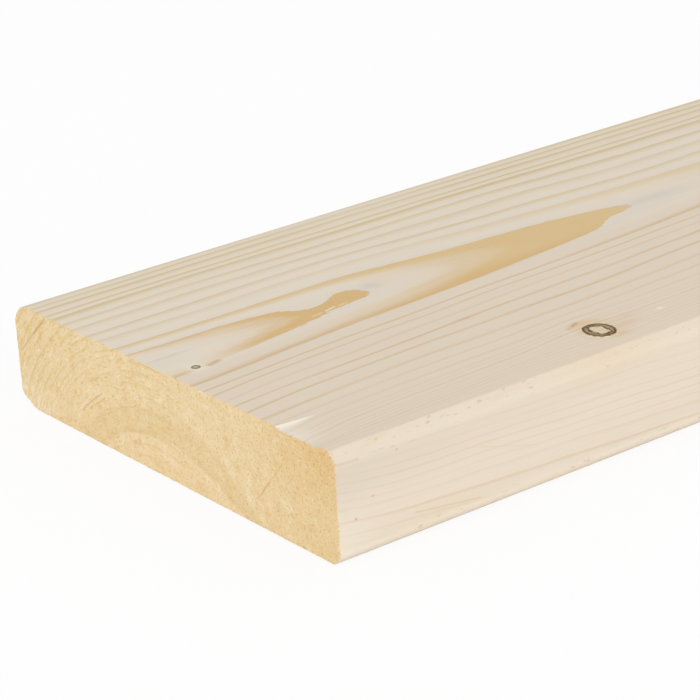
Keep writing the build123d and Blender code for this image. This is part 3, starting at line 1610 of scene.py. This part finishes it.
@dataclass
class Studio:
    """A white studio with soft light, and the camera that saw the plank.

    Attributes:
        camera_place: The camera, in metres from the middle of the near end's underside.
        azimuth, elevation, roll: Where it looks from, and how it is turned, in degrees.
        lens: Its focal length in millimetres on a sensor 36 mm wide.
        sky: Brightness of the surroundings.
        lamps: The lamps, by name.
        floor_size, floor_drop: Half the floor's width, and how far it lies below the plank.
        paper, glow: The floor's colour, and how much of it glows white where it is seen.
    """

    camera_place: Point = (-0.4652, -0.7389, 0.38915)
    azimuth: float = -36.2297
    elevation: float = 21.7473
    roll: float = -3.631
    lens: float = 149.32
    sky: float = 0.85
    lamps: dict[str, SoftLamp] = field(default_factory=lambda: {
        "front_lamp": SoftLamp((-0.5, -2.4, 0.68), 1.2, 12.4),
        "end_lamp": SoftLamp((-2.4, -0.4, 0.68), 1.2, 11.5),
    })
    floor_size: float = 30.0
    floor_drop: float = 0.2 * MM
    paper: Colour = (0.95, 0.95, 0.95, 1.0)
    glow: float = 0.88

    def build(self) -> None:
        """Builds the floor, the sky, the lamps and the camera."""
        low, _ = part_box(NODE)
        start = Vector((low.x, 0.0, 0.0))
        self._floor()
        self._sky()
        for name, lamp in self.lamps.items():
            lamp.build(name, start)
        self._camera(start)
        bpy.context.scene.view_settings.view_transform = "Standard"

    def _camera(self, start: Vector) -> None:
        """Sets the camera where it stood.

        Args:
            start: The middle of the near end's underside.
        """
        around, up, turn = (math.radians(angle) for angle in (self.azimuth, self.elevation, self.roll))
        back = Vector((math.sin(around) * math.cos(up), -math.cos(around) * math.cos(up), math.sin(up)))
        level = (-back).to_track_quat("-Z", "Y").to_matrix()
        data = bpy.data.cameras.new("camera")
        data.lens = self.lens
        camera = add("camera", data)
        turned = (level @ Matrix.Rotation(turn, 3, "Z")).to_4x4()
        camera.matrix_world = Matrix.Translation(start + Vector(self.camera_place)) @ turned
        bpy.context.scene.camera = camera

    def _sky(self) -> None:
        """Makes the surroundings white to look at and soft as a light."""
        world = bpy.data.worlds.new("studio")
        bpy.context.scene.world = world
        graph = blank(world)
        strength = self._seen(graph) * (1 - self.sky) + self.sky
        light = graph.node("ShaderNodeBackground", {}, {"Color": WHITE, "Strength": strength})
        graph.raw("ShaderNodeOutputWorld", {}, {"Surface": light})

    @staticmethod
    def _seen(graph: Graph) -> Value:
        """1 where the camera sees a thing, straight on, in a reflection or through glass.

        Args:
            graph: The shader.

        Returns:
            1 there, and 0 for other light.
        """
        path = graph.raw("ShaderNodeLightPath", {}, {})
        rays = [Value(graph, path.outputs[name])
                for name in ("Is Camera Ray", "Is Glossy Ray", "Is Transmission Ray")]
        return rays[0].most(rays[1]).most(rays[2])

    def _floor(self) -> None:
        """Lays a white floor that keeps a faint shadow."""
        mesh = bpy.data.meshes.new("floor")
        size = self.floor_size
        corners = [(-size, -size, 0), (size, -size, 0), (size, size, 0), (-size, size, 0)]
        mesh.from_pydata(corners, [], [(0, 1, 2, 3)])
        floor = add("floor", mesh)
        floor.location.z = -self.floor_drop
        material = bpy.data.materials.new("white_floor")
        graph = blank(material)
        paper = graph.node("ShaderNodeBsdfDiffuse", {}, {"Color": self.paper})
        glow = graph.node("ShaderNodeEmission", {}, {"Color": WHITE, "Strength": 1.0})
        mixed = graph.node("ShaderNodeMixShader", {}, {0: self._seen(graph) * self.glow, 1: paper, 2: glow})
        graph.raw("ShaderNodeOutputMaterial", {}, {"Surface": mixed})
        mesh.materials.append(material)


RESIN = srgb(208, 160, 104)
PINK = srgb(208, 176, 143)
ASH = srgb(208, 199, 188)
SPECK = srgb(150, 124, 92)
CREAM = srgb(229, 217, 199)
# Freshly torn wood, and the painted highlight beside the ring scratches on the near end
TORN_AND_HIGHLIGHT = srgb(248, 243, 230)

KNOTS = (
    Knot(KnotKind.ENCASED, 123.4, -74.0, -28.0, 5.3),
    Knot(KnotKind.PIN, 10.8, -4.2, -8.0, 1.65, bend=0.3),
    Knot(KnotKind.INTERGROWN, 642.0, 52.0, 30.0, 7.0),
    Knot(KnotKind.INTERGROWN, 655.0, -24.0, -22.0, 5.0),
    Knot(KnotKind.ENCASED, 1184.0, -41.0, -33.0, 6.5),
    Knot(KnotKind.INTERGROWN, 1196.0, 66.0, 38.0, 6.0),
    Knot(KnotKind.INTERGROWN, 1730.0, 16.0, 6.0, 8.0),
    Knot(KnotKind.ENCASED, 2232.0, -62.0, -42.0, 5.0),
)

# Stains, streaks, specks and pale torn wood, with painted shade and painted light on the near edge
STAINS_AND_PAINTED_LIGHT = (
    SoftPatch((122.5, -66.0, TOP), (4.0, 1.6, 2.0), RESIN, 0.3),
    SoftPatch((126.5, -81.5, TOP), (4.0, 1.5, 2.0), RESIN, 0.35),
    SoftPatch((133.5, -76.0, TOP), (6.0, 2.4, 2.0), RESIN, 0.3),
    SoftPatch((137.0, -71.0, TOP), (7.0, 1.4, 2.0), RESIN, 0.22),
    SoftPatch((10.8, -4.2, TOP), (3.2, 3.2, 2.0), TORN_AND_HIGHLIGHT, 0.7),
    SoftPatch((18.0, -3.6, TOP), (17.0, 3.4, 2.0), CREAM, 0.75),
    SoftPatch((99.5, -34.3, TOP), (3.0, 1.0, 2.0), RESIN, 0.35),
    SoftPatch((226.0, 10.5, TOP), (14.0, 3.0, 2.0), ASH, 0.6),
    SoftPatch((96.5, 13.5, TOP), (4.0, 3.0, 2.0), ASH, 0.7),
    SoftPatch((10.0, 10.0, TOP), (8.0, 1.0, 2.0), ASH, 0.6),
    SoftPatch((0.0, -72.0, TOP), (7.0, 7.0, 2.0), TORN_AND_HIGHLIGHT, 0.4),
    SoftPatch((150.5, -74.0, TOP), (1.2, 0.6, 1.0), TORN_AND_HIGHLIGHT, 0.8),
    SoftPatch((2.0, NEAR_EDGE, 28.0), (24.0, 3.0, 7.0), srgb(214, 204, 190), 0.35),
    # Painted shade: a darker strip down the near edge just below its top arris, fading along the plank, for
    # the shading of the rounded arris
    SoftPatch((5.0, NEAR_EDGE, 30.0), (95.0, 1.2, 9.0), srgb(210, 196, 174), 0.34),
    SoftPatch((112.0, -91.0, 36.0), (22.0, 4.0, 5.0), srgb(228, 203, 164), 0.45),
    SoftPatch((40.0, NEAR_EDGE, 5.0), (22.0, 2.0, 4.0), srgb(222, 200, 166), 0.3),
    SoftPatch((2.0, NEAR_EDGE, 8.0), (10.0, 3.0, 7.0), srgb(240, 232, 215), 0.3),
    # Painted light: a faint pale strip all along the near edge's bottom arris that brightens the shade
    # falling on the bevel beside the floor
    SoftPatch((1200.0, NEAR_EDGE, 1.6), (4000.0, 3.0, 2.4), srgb(250, 240, 222), 0.65),
    SoftPatch((7.0, NEAR_EDGE, 14.3), (0.35, 1.0, 0.35), SPECK, 0.7),
    SoftPatch((14.0, NEAR_EDGE, 19.8), (0.7, 1.0, 0.3), SPECK, 0.35),
    SoftPatch((24.0, NEAR_EDGE, 32.2), (0.4, 1.0, 0.35), SPECK, 0.4),
)

SCRATCHES = (
    Scratch((END, -64.6, 26.0), (END, -49.8, 9.5), 0.5, srgb(212, 164, 92), 0.3),
    Scratch((END, -57.3, 17.7), (END, -52.2, 11.8), 0.5, srgb(208, 154, 74), 0.5),
    Scratch((END, 89.3, 20.8), (END, 79.9, 29.8), 0.6, srgb(186, 146, 84), 0.45),
    Scratch((END, 79.9, 29.8), (END, 71.6, 37.0), 0.6, srgb(186, 146, 84), 0.6),
    Scratch((END, 38.5, 19.2), (END, 46.0, 14.2), 0.5, srgb(192, 154, 88), 0.45),
    Scratch((END, 46.0, 14.2), (END, 52.0, 9.2), 0.5, srgb(192, 154, 88), 0.4),
    Scratch((END, 36.8, 18.1), (END, 44.2, 13.2), 0.5, srgb(192, 154, 88), 0.35),
    # Painted highlight: a pale line beside the ring scratches on the near end
    Scratch((END, 42.5, 19.4), (END, 55.0, 8.2), 0.5, TORN_AND_HIGHLIGHT, 0.3),
    Scratch((15.0, -6.0, TOP), (19.0, -4.9, TOP), 1.9, PINK, 0.9),
    Scratch((0.8, -61.4, TOP), (6.0, -62.1, TOP), 0.4, PINK, 0.5),
    Scratch((64.5, 4.4, TOP), (69.0, 5.0, TOP), 0.5, TORN_AND_HIGHLIGHT, 0.5),
    Scratch((71.0, 5.3, TOP), (75.5, 6.5, TOP), 0.7, TORN_AND_HIGHLIGHT, 0.7),
    Scratch((77.0, 6.1, TOP), (81.0, 6.5, TOP), 0.5, TORN_AND_HIGHLIGHT, 0.5),
    Scratch((0.5, NEAR_EDGE, 34.0), (9.0, NEAR_EDGE, 33.6), 0.9, srgb(204, 178, 142), 0.4),
    Scratch((30.0, NEAR_EDGE, 8.9), (56.0, NEAR_EDGE, 5.6), 0.5, RESIN, 0.3),
    Scratch((49.0, NEAR_EDGE, 24.8), (80.0, NEAR_EDGE, 16.0), 0.35, srgb(222, 203, 172), 0.6),
    Scratch((116.8, -66.6, TOP), (121.5, -64.4, TOP), 1.9, srgb(206, 170, 118), 0.45),
    Scratch((119.2, -65.5, TOP), (122.4, -64.0, TOP), 0.9, srgb(190, 148, 92), 0.6),
)


def hand_over(piece: bpy.types.Object, *nodes: str) -> None:
    """Puts a finished piece on the plank's body and hides the solids that it stands for.

    Args:
        piece: The piece.
        nodes: The solids that it stands for.
    """
    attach(piece, BODY)
    if nodes:
        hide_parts(*nodes)
    triangles = sum(len(polygon.vertices) - 2 for polygon in piece.data.polygons)
    LOG.info("%s: %d vertices, %d triangles", piece.name, len(piece.data.vertices), triangles)


def main() -> None:
    """Builds the plank, its fibres and the studio."""
    logging.basicConfig(level=logging.INFO, format="%(name)s: %(message)s")
    plank = Plank(PlanedSpruce(knots=KNOTS, stains_and_painted_light=STAINS_AND_PAINTED_LIGHT, scratches=SCRATCHES)).build()
    fibres = SawnFibres().build(plank)
    hand_over(plank, NODE)
    hand_over(fibres)
    Studio().build()


if __name__ == "__main__":
    main()
